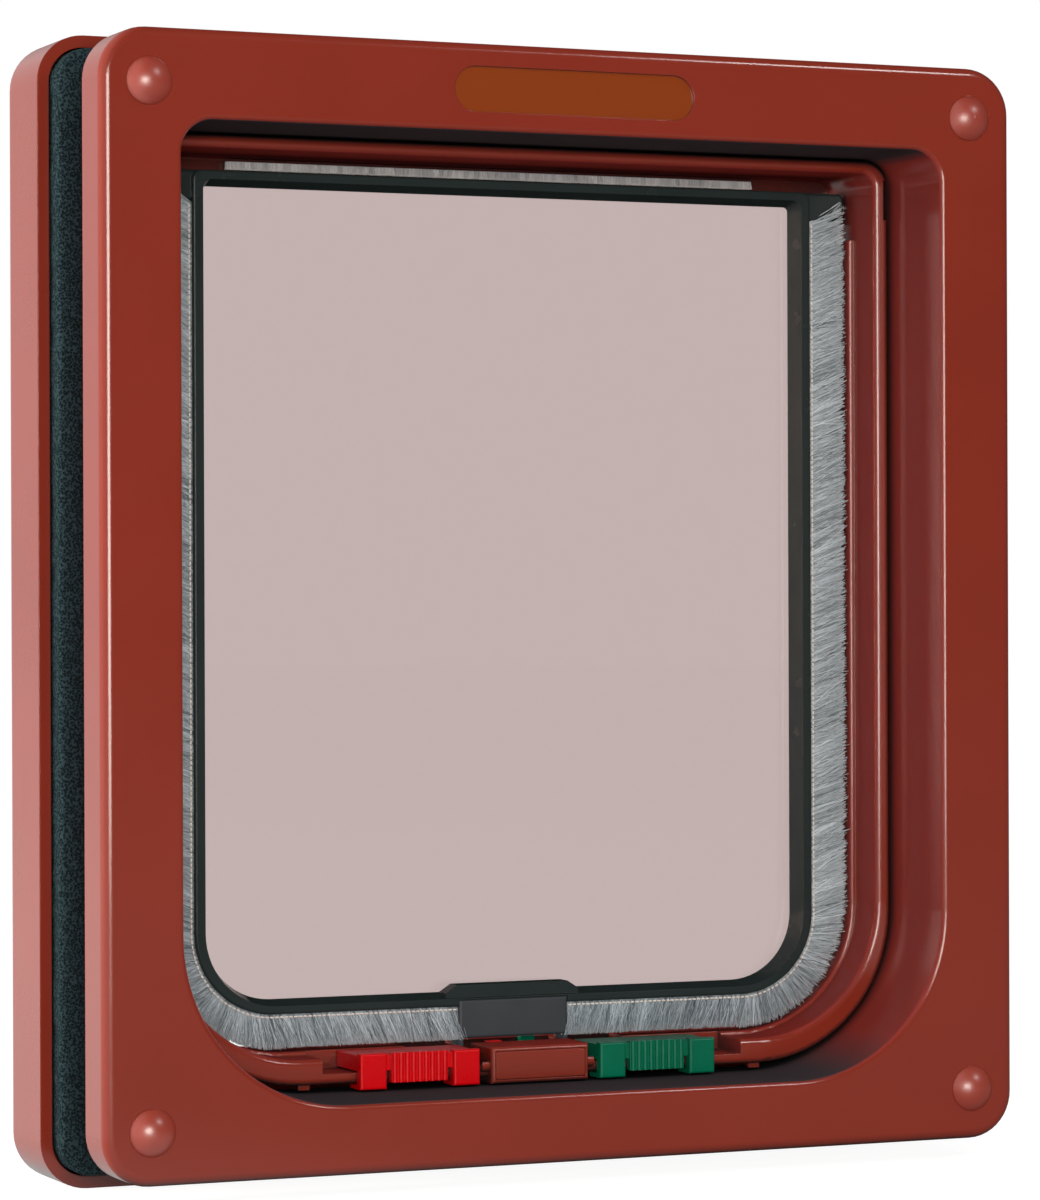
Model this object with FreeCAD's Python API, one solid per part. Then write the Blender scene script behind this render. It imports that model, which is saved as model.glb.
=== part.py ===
import FreeCAD, Part
import math
import os
from FreeCAD import Vector

# Cat flap for a door: a swinging clear flap in a two-part frame, with two lock sliders.
# Millimetres. X runs across the door, Y goes through it away from the room, Z is up.
# The origin is the middle of the frame, on the room face of the door.

# Flap, which the rest is built around
flap_width = 136.2
flap_height = 166.8
flap_rise = 2.5
flap_front = 20.9
rim_depth = 6.4
rim_edge_radius = 0.5
rim_corner_radius = 16.5
rim_top_radius = 2.0
rim_slope = 1.1
window_lap = 3.25
window_lap_top = 2.9
window_lap_bottom = 2.7
window_depth = 4.3
window_top_radius = 1.0
panel_lap = 1.2
panel_play = 0.1

# Hinge
axis_below_top = 2.7
axis_behind_front = 3.5
pin_radius = 1.2
pin_grip = 9.0
pin_running_gap = 0.05
pin_end_gap = 0.3
pin_chamfer = 0.3
ear_reach = 8.4
ear_height = 6.0
ear_setback = 0.9
ear_radius = 1.4

# Draught brushes
brush_reach = 7.7
brush_drop = 6.7
brush_thickness = 1.6
brush_root = 1.0
brush_play = 0.05
brush_setback = 0.8
brush_corner_radius = 25.0
brush_top_gap = 0.6
brush_end_gap = 0.2
top_brush_width = 116.5
top_brush_backing = 2.8
top_brush_backing_height = 1.0
top_brush_behind = 0.7
top_brush_gap = 1.0
brush_rail_gap = 0.1
brush_rail_thickness = 2.0
brush_rail_flap_gap = 0.7

# Magnet housing under the flap, and its lock lugs
housing_half_width = 12.0
housing_height = 7.8
housing_below_rim = 6.5
housing_depth = 5.7
housing_wall = 1.2
housing_edge_radius = 0.6
bump_half_width = 12.15
bump_base_half_width = 14.65
bump_height = 1.6
lug_thickness = 1.0
lug_drop = 2.0
lug_depth = 3.8
lug_setback = 0.3
magnet_length = 16.0
magnet_height = 4.6
magnet_depth = 3.0
magnet_play = 0.1

# Tunnel, which is one moulding with the outdoor frame
land_gap = 0.3
land_step = 1.2
land_front = 18.9
land_length = 10.1
land_top_below_flap_top = 9.9
land_floor_gap = 0.7
land_corner_radius = 25.5
land_edge_radius = 0.6
tunnel_wall = 3.25
tunnel_top_wall = 2.4
tunnel_floor_wall = 5.0
tunnel_floor_gap = 1.4
tunnel_ceiling_gap = 3.3
tunnel_front = 9.7
tunnel_corner_radius = 30.5
tunnel_top_radius = 5.2
lip_radius = 1.15
lip_notch_height = 8.3
lip_notch_depth = 1.2
lip_notch_length = 9.0
lip_notch_rise = 0.5
nub_size = 1.0
nub_width = 2.4
nub_inset = 31.3

# Outdoor frame
pan_side_margin = 2.5
pan_top_margin = 1.8
pan_bottom_margin = 3.8
pan_front = 20.6
pan_depth = 20.6
pan_wall = 2.4
pan_plate = 2.4
pan_corner_radius = 9.4
pan_edge_radius = 3.0
rear_opening_chamfer = 1.2
pan_rib = 1.8
pan_rib_pitch = 30.0
pillar_radius = 3.2
pillar_front = 14.0

# Foam gasket
foam_inset = 0.3
foam_width = 5.8
foam_front = 16.0
foam_seat = 23.7

# Room frame
reveal_side_gap = 0.85
reveal_top_gap = 0.5
reveal_floor_gap = 1.6
reveal_length = 18.7
reveal_wall = 2.2
reveal_top_radius = 6.4
reveal_corner_radius = 33.0
reveal_edge_radius = 1.0
side_border = 16.1
top_border = 17.1
bottom_border = 13.6
frame_depth = 11.3
frame_plate = 2.4
frame_wall = 2.2
frame_corner_radius = 9.4
frame_edge_radius = 2.0
frame_rib = 1.6
frame_rib_pitch = 34.0
frame_rib_recess = 2.5
badge_length = 51.3
badge_height = 8.9
badge_depth = 0.5
badge_below_edge = 9.0

# Screws and their caps
screw_side_inset = 9.6
screw_end_inset = 10.3
screw_radius = 1.5
screw_length = 40.0
screw_hole_gap = 0.25
screw_thread_gap = 0.05
head_radius = 3.0
head_height = 2.2
head_gap = 0.4
head_seat_depth = 4.1
boss_radius = 4.8
boss_recess = 1.0
cap_radius = 4.6
cap_height = 2.6
cap_plug_length = 1.6
cap_plug_gap = 0.1
drive_span = 3.6
drive_width = 0.8
drive_depth = 1.0

# Lock sliders and the block between them
grip_front = 7.4
grip_thickness = 2.0
slider_play = 0.3
slider_start = 13.1
slider_end_block = 5.7
slider_grip = 12.0
slider_edge_radius = 0.5
slider_groove = 1.1
slider_top_gap = 0.7
slider_body_step = 0.4
slider_body_depth = 10.3
slider_travel = 7.0
grip_rib_count = 9
grip_rib_depth = 0.5
end_block_drop = 1.2
catch_reach = 3.1
hook_place = 3.5
hook_width = 3.0
hook_thickness = 1.8
hook_lug_gap = 0.4
hook_top_gap = 0.5
arm_height = 1.4
track_wall = 2.1
track_rear_half_width = 24.0
lug_slot_gap = 0.4
lug_slot_depth = 0.5
block_half_width = 10.6
block_front = 7.4
block_depth = 10.5
block_top_gap = 0.6
block_drop = 1.3
block_edge_radius = 0.8
cover_inset = 0.9
cover_thickness = 1.2
cover_play = 0.1
rail_nub_reach = 1.6
rail_nub_radius = 1.3
cover_corner_radius = 0.4

# How far cutting tools and hidden roots run past a surface
over = 1.0

# Places that follow from the sizes
flap_half = flap_width / 2
flap_top = flap_height / 2 + flap_rise
flap_bottom = flap_rise - flap_height / 2
axis_y = flap_front + axis_behind_front
axis_z = flap_top - axis_below_top
rim_rear = flap_front + rim_depth
panel_front = flap_front + window_depth
brush_half = flap_half + brush_reach
brush_bottom = flap_bottom - brush_drop
brush_front = flap_front + brush_setback
ear_half = flap_half + ear_reach
housing_front = flap_front
housing_bottom = flap_bottom - housing_below_rim
housing_top = housing_bottom + housing_height
housing_middle = (housing_top + housing_bottom) / 2
lug_bottom = housing_bottom - lug_drop
lug_front = flap_front + lug_setback
lug_inner = housing_half_width - lug_thickness

land_half = brush_half + land_gap
land_bottom = brush_bottom - land_floor_gap
tunnel_inner_half = land_half + land_step
tunnel_floor = brush_bottom - tunnel_floor_gap
tunnel_ceiling = flap_top + tunnel_ceiling_gap
tunnel_half = tunnel_inner_half + tunnel_wall
tunnel_top = tunnel_ceiling + tunnel_top_wall
tunnel_bottom = tunnel_floor - tunnel_floor_wall

reveal_half = tunnel_half + reveal_side_gap
reveal_top = tunnel_top + reveal_top_gap
reveal_bottom = tunnel_bottom - reveal_floor_gap
frame_half = reveal_half + side_border
frame_top = reveal_top + top_border
frame_bottom = reveal_bottom - bottom_border
frame_front = -frame_depth

pan_half = frame_half + pan_side_margin
pan_top = frame_top + pan_top_margin
pan_bottom = frame_bottom - pan_bottom_margin
pan_rear = pan_front + pan_depth
pan_plate_front = pan_rear - pan_plate

screw_x = frame_half - screw_side_inset
screw_top_z = frame_top - screw_end_inset
screw_bottom_z = frame_bottom + screw_end_inset
screw_seat = frame_front + head_seat_depth

track_floor = tunnel_bottom + track_wall
slider_length = 2 * slider_end_block + slider_grip + 2 * slider_groove
slider_end = slider_start + slider_length
slider_top = housing_bottom - slider_top_gap
slider_floor = track_floor + slider_play
track_half = slider_end + slider_travel
red_hook_rear = lug_front - hook_lug_gap
green_hook_front = lug_front + lug_depth + hook_lug_gap
track_rear = green_hook_front + hook_thickness + slider_play
body_front = tunnel_front + slider_play
body_rear = body_front + slider_body_depth
block_top = housing_bottom - block_top_gap
block_bottom = tunnel_bottom - block_drop
block_middle = (block_top + block_bottom) / 2


# Basic solids. An outline is (half width, top, bottom, top radius, bottom radius).
def outline_wire(outline, y):
    half, top, bottom, top_radius, bottom_radius = outline
    corners = [
        (half - top_radius, top - top_radius, top_radius),
        (top_radius - half, top - top_radius, top_radius),
        (bottom_radius - half, bottom + bottom_radius, bottom_radius),
        (half - bottom_radius, bottom + bottom_radius, bottom_radius),
    ]
    arcs = []
    for turn, (x, z, radius) in enumerate(corners):
        points = []
        for step in (0, 45, 90):
            angle = math.radians(90 * turn + step)
            points.append(Vector(x + radius * math.cos(angle), y, z + radius * math.sin(angle)))
        arcs.append(points)
    edges = []
    for turn, points in enumerate(arcs):
        following = arcs[(turn + 1) % 4]
        edges.append(Part.Arc(*points).toShape())
        edges.append(Part.makeLine(points[2], following[0]))
    return Part.Wire(edges)


def slab(outline, y_from, y_to):
    return Part.Face(outline_wire(outline, y_from)).extrude(Vector(0, y_to - y_from, 0))


def resized(outline, by):
    half, top, bottom, top_radius, bottom_radius = outline
    return half + by, top + by, bottom - by, top_radius + by, bottom_radius + by


def block(x_from, x_to, y_from, y_to, z_from, z_to):
    corner = Vector(x_from, y_from, z_from)
    return Part.makeBox(x_to - x_from, y_to - y_from, z_to - z_from, corner)


def centred(middle, size):
    return middle - size / 2, middle + size / 2


def rod_y(x, z, radius, y_from, y_to):
    return Part.makeCylinder(radius, y_to - y_from, Vector(x, y_from, z), Vector(0, 1, 0))


def rod_x(y, z, radius, x_from, x_to):
    return Part.makeCylinder(radius, x_to - x_from, Vector(x_from, y, z), Vector(1, 0, 0))


def edges_at(solid, y):
    return [e for e in solid.Edges if abs(e.BoundBox.YMin - y) < 1e-3 and abs(e.BoundBox.YMax - y) < 1e-3]


def rounded_at(solid, y, radius):
    return solid.makeFillet(radius, edges_at(solid, y))


def joined(solids):
    result = solids[0]
    for solid in solids[1:]:
        result = result.fuse(solid)
    return result.removeSplitter()


def mirrored(solid):
    return solid.mirror(Vector(0, 0, 0), Vector(1, 0, 0))


def both_sides(solid):
    return [solid, mirrored(solid)]


def spread(first, last, pitch):
    count = max(2, round((last - first) / pitch) + 1)
    return [first + (last - first) * i / (count - 1) for i in range(count)]


def screw_places():
    for side, x in (("left", -screw_x), ("right", screw_x)):
        for end, z in (("top", screw_top_z), ("bottom", screw_bottom_z)):
            yield f"{end}_{side}", x, z


# Outlines
frame_outline = (frame_half, frame_top, frame_bottom, frame_corner_radius, frame_corner_radius)
reveal_outline = (reveal_half, reveal_top, reveal_bottom, reveal_top_radius, reveal_corner_radius)
pan_outline = (pan_half, pan_top, pan_bottom, pan_corner_radius, pan_corner_radius)
tunnel_outline = (tunnel_half, tunnel_top, tunnel_bottom, tunnel_top_radius, tunnel_corner_radius)
tunnel_bore = (
    tunnel_inner_half,
    tunnel_ceiling,
    tunnel_floor,
    tunnel_top_radius - tunnel_top_wall,
    tunnel_corner_radius - tunnel_wall,
)
land_bore = (
    land_half,
    tunnel_ceiling,
    land_bottom,
    tunnel_top_radius - tunnel_top_wall,
    land_corner_radius,
)
rim_outline = (flap_half, flap_top, flap_bottom, rim_top_radius, rim_corner_radius)
window_outline = (
    flap_half - window_lap,
    flap_top - window_lap_top,
    flap_bottom + window_lap_bottom,
    window_top_radius,
    rim_corner_radius - window_lap_bottom,
)
brush_outline = (brush_half, flap_top, brush_bottom, rim_top_radius, brush_corner_radius)


# Room frame: a shallow pan with a deep reveal that slides over the tunnel
def room_frame():
    skin = rounded_at(slab(frame_outline, frame_front, 0), frame_front, frame_edge_radius)
    hollow = slab(resized(frame_outline, -frame_wall), frame_front + frame_plate, 0)
    reveal = slab(resized(reveal_outline, reveal_wall), frame_front, reveal_length)
    root = frame_front + frame_plate / 2
    bosses = [rod_y(x, z, boss_radius, root, -boss_recess) for _, x, z in screw_places()]
    shell = joined([skin.cut(hollow), reveal] + bosses + frame_ribs(hollow))
    opening = slab(reveal_outline, frame_front, reveal_length)
    shell = shell.cut(opening)
    mouth = [e for e in edges_at(shell, frame_front) if inside_border(e)]
    shell = shell.makeFillet(reveal_edge_radius, mouth)
    for _, x, z in screw_places():
        shell = shell.cut(rod_y(x, z, head_radius + head_gap, frame_front, screw_seat))
        shell = shell.cut(rod_y(x, z, screw_radius + screw_hole_gap, screw_seat, 0))
    return shell.cut(badge_recess())


def inside_border(edge):
    box = edge.BoundBox
    return box.XMax < frame_half - side_border / 2 and box.XMin > side_border / 2 - frame_half


def badge_recess():
    radius = badge_height / 2
    middle = frame_top - badge_below_edge
    straight = badge_length / 2 - radius
    y_to = frame_front + badge_depth
    band = block(-straight, straight, frame_front, y_to, middle - radius, middle + radius)
    ends = both_sides(rod_y(straight, middle, radius, frame_front, y_to))
    return joined([band] + ends)


def frame_ribs(hollow):
    y_from = frame_front + frame_plate / 2
    y_to = -frame_rib_recess
    ribs = []
    for z in spread(reveal_bottom + reveal_corner_radius, reveal_top - reveal_top_radius, frame_rib_pitch):
        side = block(reveal_half + over, frame_half, y_from, y_to, *centred(z, frame_rib))
        ribs += both_sides(side.common(hollow))
    for x in spread(-frame_half / 2, frame_half / 2, frame_rib_pitch):
        above = block(*centred(x, frame_rib), y_from, y_to, reveal_top + over, frame_top)
        below = block(*centred(x, frame_rib), y_from, y_to, frame_bottom, reveal_bottom - over)
        ribs += [above.common(hollow), below.common(hollow)]
    return ribs


# Outdoor frame: a deeper pan, the tunnel with its sealing land, and the slider track
def outdoor_frame():
    pan = rounded_at(slab(pan_outline, pan_front, pan_rear), pan_rear, pan_edge_radius)
    hollow = slab(resized(pan_outline, -pan_wall), pan_front, pan_plate_front)
    tube = slab(tunnel_outline, tunnel_front, pan_rear)
    pillars = [rod_y(x, z, pillar_radius, pillar_front, pan_rear - over) for _, x, z in screw_places()]
    shell = joined([pan.cut(hollow), tube] + pillars + pan_ribs(hollow))
    shell = shell.cut(slab(tunnel_bore, tunnel_front, pan_rear))
    shell = shell.makeFillet(lip_radius, edges_at(shell, tunnel_front))
    rear_mouth = [e for e in edges_at(shell, pan_rear) if inside_border(e)]
    shell = shell.makeChamfer(rear_opening_chamfer, rear_mouth)
    shell = joined([shell, sealing_land(), brush_rail()] + magnet_block() + lip_nubs())
    for _, x, z in screw_places():
        shell = shell.cut(rod_y(x, z, screw_radius + screw_thread_gap, pillar_front, pan_plate_front))
    for tool in both_sides(hinge_socket()) + both_sides(lug_slot()) + slider_track() + [magnet_pocket()]:
        shell = shell.cut(tool)
    return shell


def pan_ribs(hollow):
    y_span = (foam_seat, pan_plate_front)
    ribs = []
    for z in spread(screw_bottom_z + pan_rib_pitch, screw_top_z - pan_rib_pitch, pan_rib_pitch):
        side = block(tunnel_half - over, pan_half, *y_span, *centred(z, pan_rib))
        ribs += both_sides(side.common(hollow))
    rib_reach = tunnel_half - tunnel_corner_radius / 2
    for x in spread(-rib_reach, rib_reach, pan_rib_pitch):
        above = block(*centred(x, pan_rib), *y_span, tunnel_top - over, pan_top)
        below = block(*centred(x, pan_rib), *y_span, pan_bottom, tunnel_bottom + tunnel_corner_radius / 4)
        ribs += [above.common(hollow), below.common(hollow)]
    for _, x, z in screw_places():
        far_x = math.copysign(pan_half, x)
        far_z = pan_top if z > 0 else pan_bottom
        across = block(min(x, far_x), max(x, far_x), *y_span, *centred(z, pan_rib))
        upright = block(*centred(x, pan_rib), *y_span, min(z, far_z), max(z, far_z))
        ribs += [across.common(hollow), upright.common(hollow)]
    return ribs


def sealing_land():
    land_rear = land_front + land_length
    ring = slab(resized(tunnel_bore, tunnel_wall / 2), land_front, land_rear)
    ring = ring.cut(slab(land_bore, land_front, land_rear))
    land_top = flap_top - land_top_below_flap_top
    above = block(-tunnel_half, tunnel_half, land_front, land_rear, land_top, tunnel_top)
    ring = ring.cut(above)
    front_edges = [e for e in edges_at(ring, land_front) if e.BoundBox.XMax < land_half + 1e-3]
    front_edges = [e for e in front_edges if e.BoundBox.XMin > -land_half - 1e-3]
    return ring.makeFillet(land_edge_radius, front_edges)


def brush_rail():
    y_from = rim_rear + top_brush_behind + top_brush_backing + brush_rail_gap
    y_to = y_from + brush_rail_thickness
    across = slab(resized(tunnel_bore, tunnel_wall / 2), y_from, y_to)
    upper = block(-tunnel_half, tunnel_half, y_from, y_to, flap_top + brush_rail_flap_gap, tunnel_top)
    return across.common(upper)


def hinge_socket():
    radius = pin_radius + pin_running_gap
    hole = rod_x(axis_y, axis_z, radius, tunnel_inner_half - over, tunnel_half + over)
    outside = tunnel_half - lip_notch_depth
    notch_rear = tunnel_front + lip_notch_length
    notch_span = centred(axis_z + lip_notch_rise, lip_notch_height)
    notch = block(outside, tunnel_half + over, tunnel_front - over, notch_rear, *notch_span)
    return hole.fuse(notch)


def lip_nubs():
    y_from = tunnel_front + lip_radius
    z_span = (tunnel_bottom - nub_size, tunnel_bottom + over)
    x_span = centred(tunnel_half - nub_inset, nub_width)
    nub = block(*x_span, y_from, y_from + nub_size, *z_span)
    return both_sides(nub)


def lug_slot():
    slot_floor = lug_bottom - lug_slot_depth
    x_from = lug_inner - lug_slot_gap
    x_to = housing_half_width + lug_slot_gap
    return block(x_from, x_to, tunnel_front - over, pan_rear + over, slot_floor, land_bottom + over)


def slider_track():
    z_span = (track_floor, land_bottom + over)
    front_end = tunnel_front - over
    front_run = block(block_half_width, track_half, front_end, body_rear + slider_play, *z_span)
    rear_half = track_rear_half_width
    rear_run = block(-rear_half, rear_half, block_front + block_depth, track_rear, *z_span)
    return both_sides(front_run) + [rear_run]


def magnet_block():
    y_to = block_front + block_depth
    body = block(-block_half_width, block_half_width, block_front, y_to, block_bottom, block_top)
    body = rounded_at(body, block_front, block_edge_radius)
    nub_end = block_half_width + rail_nub_reach
    nub = rod_x(tunnel_front, block_middle, rail_nub_radius, block_half_width - over, nub_end)
    return [body, nub, mirrored(nub)]


def magnet_pocket():
    y_to = block_front + cover_thickness + magnet_depth + magnet_play
    x_span = centred(0, magnet_length + 2 * magnet_play)
    z_span = centred(block_middle, magnet_height + 2 * magnet_play)
    pocket = block(*x_span, block_front, y_to, *z_span)
    return pocket.fuse(slab(cover_outline(cover_play), block_front, block_front + cover_thickness))


def cover_outline(play):
    return (
        block_half_width - cover_inset + play,
        block_top - cover_inset + play,
        block_bottom + cover_inset - play,
        cover_corner_radius,
        cover_corner_radius,
    )


def magnet_cover():
    return slab(cover_outline(0), block_front, block_front + cover_thickness - magnet_play)


def frame_magnet():
    return magnet(block_front + cover_thickness, block_middle)


def magnet(y_from, middle):
    x_span = centred(0, magnet_length)
    return block(*x_span, y_from, y_from + magnet_depth, *centred(middle, magnet_height))


# Foam gasket in the outdoor pan
def foam_gasket():
    outer = resized(pan_outline, -pan_wall - foam_inset)
    ring = slab(outer, foam_front, foam_seat).cut(slab(resized(outer, -foam_width), foam_front, foam_seat))
    return ring


# Screws and caps
def frame_screw(x, z):
    head = rod_y(x, z, head_radius, screw_seat - head_height, screw_seat)
    head = head.makeChamfer(head_height / 2, edges_at(head, screw_seat - head_height))
    shank = rod_y(x, z, screw_radius, screw_seat, screw_seat + screw_length)
    screw = head.fuse(shank)
    y_from = screw_seat - head_height
    for wide, tall in ((drive_span, drive_width), (drive_width, drive_span)):
        slot = block(*centred(x, wide), y_from, y_from + drive_depth, *centred(z, tall))
        screw = screw.cut(slot)
    return screw


def screw_cap(x, z):
    sphere_radius = (cap_radius**2 + cap_height**2) / (2 * cap_height)
    centre = Vector(x, frame_front - cap_height + sphere_radius, z)
    ball = Part.makeSphere(sphere_radius, centre, Vector(0, -1, 0))
    dome = ball.common(rod_y(x, z, cap_radius + over, frame_front - cap_height - over, frame_front))
    plug_radius = head_radius + head_gap - cap_plug_gap
    return dome.fuse(rod_y(x, z, plug_radius, frame_front, frame_front + cap_plug_length))


# Flap
def flap_rim():
    body = rounded_at(slab(rim_outline, flap_front, rim_rear), flap_front, rim_edge_radius)
    ears = both_sides(hinge_ear())
    solid = joined([body] + ears)
    front_window = resized(window_outline, rim_slope)
    mouths = [outline_wire(front_window, flap_front), outline_wire(window_outline, panel_front)]
    solid = solid.cut(Part.makeLoft(mouths, True))
    solid = solid.cut(slab(resized(window_outline, panel_lap + panel_play), panel_front, rim_rear))
    solid = solid.fuse(rim_bump())
    solid = solid.cut(brush_band(brush_play))
    x_span = (-housing_half_width, housing_half_width)
    notch = block(*x_span, flap_front - over, rim_rear + over, flap_bottom - over, housing_top)
    solid = solid.cut(notch)
    for hole in both_sides(rod_x(axis_y, axis_z, pin_radius, ear_half - pin_grip, ear_half + over)):
        solid = solid.cut(hole)
    return solid


def hinge_ear():
    outline = (ear_reach, ear_height / 2, -ear_height / 2, ear_radius, ear_radius)
    ear = slab(outline, flap_front + ear_setback, rim_rear)
    ear = ear.makeChamfer(rim_edge_radius, edges_at(ear, flap_front + ear_setback))
    ear.translate(Vector(flap_half, 0, flap_top - ear_height / 2))
    return ear


def rim_bump():
    window_bottom = flap_bottom + window_lap_bottom
    top = window_bottom + bump_height
    y_from = flap_front + rim_edge_radius
    points = [
        Vector(-bump_base_half_width, y_from, window_bottom - over),
        Vector(bump_base_half_width, y_from, window_bottom - over),
        Vector(bump_base_half_width, y_from, window_bottom),
        Vector(bump_half_width, y_from, top),
        Vector(-bump_half_width, y_from, top),
        Vector(-bump_base_half_width, y_from, window_bottom),
    ]
    face = Part.Face(Part.makePolygon(points + points[:1]))
    return face.extrude(Vector(0, panel_front - y_from, 0))


def flap_panel():
    return slab(resized(window_outline, panel_lap), panel_front, rim_rear)


def brush_band(play):
    y_from = brush_front - play
    y_to = brush_front + brush_thickness + play
    ring = slab(brush_outline, y_from, y_to)
    ring = ring.cut(slab(resized(rim_outline, -brush_root - play), y_from, y_to))
    brush_top = flap_top - ear_height - brush_top_gap + play
    ring = ring.cut(block(-tunnel_half, tunnel_half, y_from, y_to, brush_top, tunnel_top))
    half = housing_half_width + brush_end_gap - play
    return ring.cut(block(-half, half, y_from, y_to, tunnel_bottom, flap_bottom + brush_drop))


def flap_brush():
    return max(brush_band(0).Solids, key=lambda solid: solid.CenterOfMass.x)


def magnet_housing():
    half = housing_half_width
    y_to = housing_front + housing_depth
    body = block(-half, half, housing_front, y_to, housing_bottom, housing_top)
    body = body.makeFillet(housing_edge_radius, edges_at(body, housing_front))
    lug = block(lug_inner, half, lug_front, lug_front + lug_depth, lug_bottom, housing_bottom + over)
    body = joined([body] + both_sides(lug))
    x_span = centred(0, magnet_length + 2 * magnet_play)
    z_span = centred(housing_middle, magnet_height + 2 * magnet_play)
    return body.cut(block(*x_span, housing_front + housing_wall, y_to, *z_span))


def flap_magnet():
    return magnet(housing_front + housing_wall, housing_middle)


def hinge_pin():
    x_to = tunnel_half - lip_notch_depth - pin_end_gap
    pin = rod_x(axis_y, axis_z, pin_radius, ear_half - pin_grip, x_to)
    end = [e for e in pin.Edges if abs(e.BoundBox.XMin - x_to) < 1e-3]
    return pin.makeChamfer(pin_chamfer, end)


def top_brush():
    half = top_brush_width / 2
    y_from = rim_rear + top_brush_behind
    backing_bottom = tunnel_ceiling - top_brush_backing_height
    backing = block(-half, half, y_from, y_from + top_brush_backing, backing_bottom, tunnel_ceiling)
    pile_front = y_from + (top_brush_backing - brush_thickness) / 2
    pile_bottom = flap_top + top_brush_gap
    pile = block(-half, half, pile_front, pile_front + brush_thickness, pile_bottom, backing_bottom)
    return backing.fuse(pile)


# Lock sliders. Each is drawn on the right; the red one is then mirrored.
def slider(hook_front):
    body_top = slider_top - slider_body_step
    bridge_front = grip_front + grip_thickness / 2
    parts = [block(slider_start, slider_end, bridge_front, body_rear, slider_floor, body_top)]
    for x in (slider_start, slider_end - slider_end_block):
        parts.append(end_block(x))
    parts.append(ribbed_grip(slider_start + slider_end_block + slider_groove))
    parts += hook_arm(hook_front)
    return joined(parts)


def end_block(x):
    bottom = tunnel_bottom - end_block_drop
    face = block(x, x + slider_end_block, grip_front, grip_front + grip_thickness, bottom, slider_top)
    face = rounded_at(face, grip_front, slider_edge_radius)
    y_to = tunnel_front + catch_reach
    lip_top = tunnel_bottom - slider_play
    catch = block(x, x + slider_end_block, grip_front + grip_thickness / 2, y_to, bottom, lip_top)
    return face.fuse(catch)


def ribbed_grip(x):
    y_from = grip_front + grip_rib_depth
    pad = block(x, x + slider_grip, y_from, grip_front + grip_thickness, tunnel_bottom, slider_top)
    pitch = slider_grip / grip_rib_count
    ribs = []
    for i in range(grip_rib_count):
        middle = x + pitch * (i + 0.5)
        ribs.append(rod_z(middle, y_from, grip_rib_depth, tunnel_bottom, slider_top))
    return joined([pad] + ribs)


def rod_z(x, y, radius, z_from, z_to):
    return Part.makeCylinder(radius, z_to - z_from, Vector(x, y, z_from), Vector(0, 0, 1))


def hook_arm(hook_front):
    hook_rear = hook_front + hook_thickness
    arm_top = slider_floor + arm_height
    hook_top = housing_bottom - hook_top_gap
    hook = block(hook_place, hook_place + hook_width, hook_front, hook_rear, slider_floor, hook_top)
    arm = block(hook_place, slider_start + hook_width, hook_front, hook_rear, slider_floor, arm_top)
    parts = [hook, arm]
    if hook_rear > body_rear:
        x_span = (slider_start, slider_start + hook_width)
        parts.append(block(*x_span, body_rear - over, hook_rear, slider_floor, arm_top))
    return parts


def save(name, solid):
    solid.exportStep(f"parts/{name}.step")


os.makedirs("parts", exist_ok=True)
save("front_frame", room_frame())
save("back_frame", outdoor_frame())
save("foam_gasket", foam_gasket())
save("magnet_cover", magnet_cover())
save("frame_magnet", frame_magnet())
save("top_brush", top_brush())
save("flap_rim", flap_rim())
save("flap_panel", flap_panel())
save("magnet_housing", magnet_housing())
save("flap_magnet", flap_magnet())
save("brush_left", mirrored(flap_brush()))
save("brush_right", flap_brush())
save("hinge_pin_left", mirrored(hinge_pin()))
save("hinge_pin_right", hinge_pin())
save("red_lock_slider", mirrored(slider(red_hook_rear - hook_thickness)))
save("green_lock_slider", slider(green_hook_front))
for place, x, z in screw_places():
    save(f"screw_cap_{place}", screw_cap(x, z))
    save(f"frame_screw_{place}", frame_screw(x, z))
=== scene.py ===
import math

import bpy
import numpy as np
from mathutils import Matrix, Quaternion, Vector, noise


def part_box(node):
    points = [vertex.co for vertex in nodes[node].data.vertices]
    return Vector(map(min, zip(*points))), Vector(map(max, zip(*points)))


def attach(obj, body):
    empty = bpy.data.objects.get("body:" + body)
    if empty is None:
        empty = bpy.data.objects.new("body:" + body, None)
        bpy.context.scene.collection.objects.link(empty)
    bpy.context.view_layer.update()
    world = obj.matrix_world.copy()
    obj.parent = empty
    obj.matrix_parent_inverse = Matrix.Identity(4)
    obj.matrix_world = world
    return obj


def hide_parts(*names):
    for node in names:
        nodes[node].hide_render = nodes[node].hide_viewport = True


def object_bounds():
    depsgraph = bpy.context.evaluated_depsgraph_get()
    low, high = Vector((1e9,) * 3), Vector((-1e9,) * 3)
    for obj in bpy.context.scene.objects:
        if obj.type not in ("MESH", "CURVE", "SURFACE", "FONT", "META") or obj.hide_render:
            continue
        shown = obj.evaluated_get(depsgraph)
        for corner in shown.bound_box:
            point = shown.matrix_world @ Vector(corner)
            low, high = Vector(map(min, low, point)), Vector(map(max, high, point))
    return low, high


# Cat flap, as seen from the room. Metres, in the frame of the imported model.
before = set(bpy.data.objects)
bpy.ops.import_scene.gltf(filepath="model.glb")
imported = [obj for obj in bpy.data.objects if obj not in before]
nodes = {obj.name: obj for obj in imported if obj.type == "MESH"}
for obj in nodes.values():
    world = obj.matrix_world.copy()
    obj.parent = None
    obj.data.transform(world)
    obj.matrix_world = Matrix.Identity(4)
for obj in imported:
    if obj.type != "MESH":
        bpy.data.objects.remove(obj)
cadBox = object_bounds()
mm = 0.001
print("frame loaded:", len(nodes), "nodes")


# sRGB hex to the linear colour that a shader takes
def hexColour(text):
    channels = [int(text[i:i + 2], 16) / 255 for i in (1, 3, 5)]
    linear = [c / 12.92 if c <= 0.04045 else ((c + 0.055) / 1.055) ** 2.4 for c in channels]
    return (*linear, 1.0)


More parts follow.
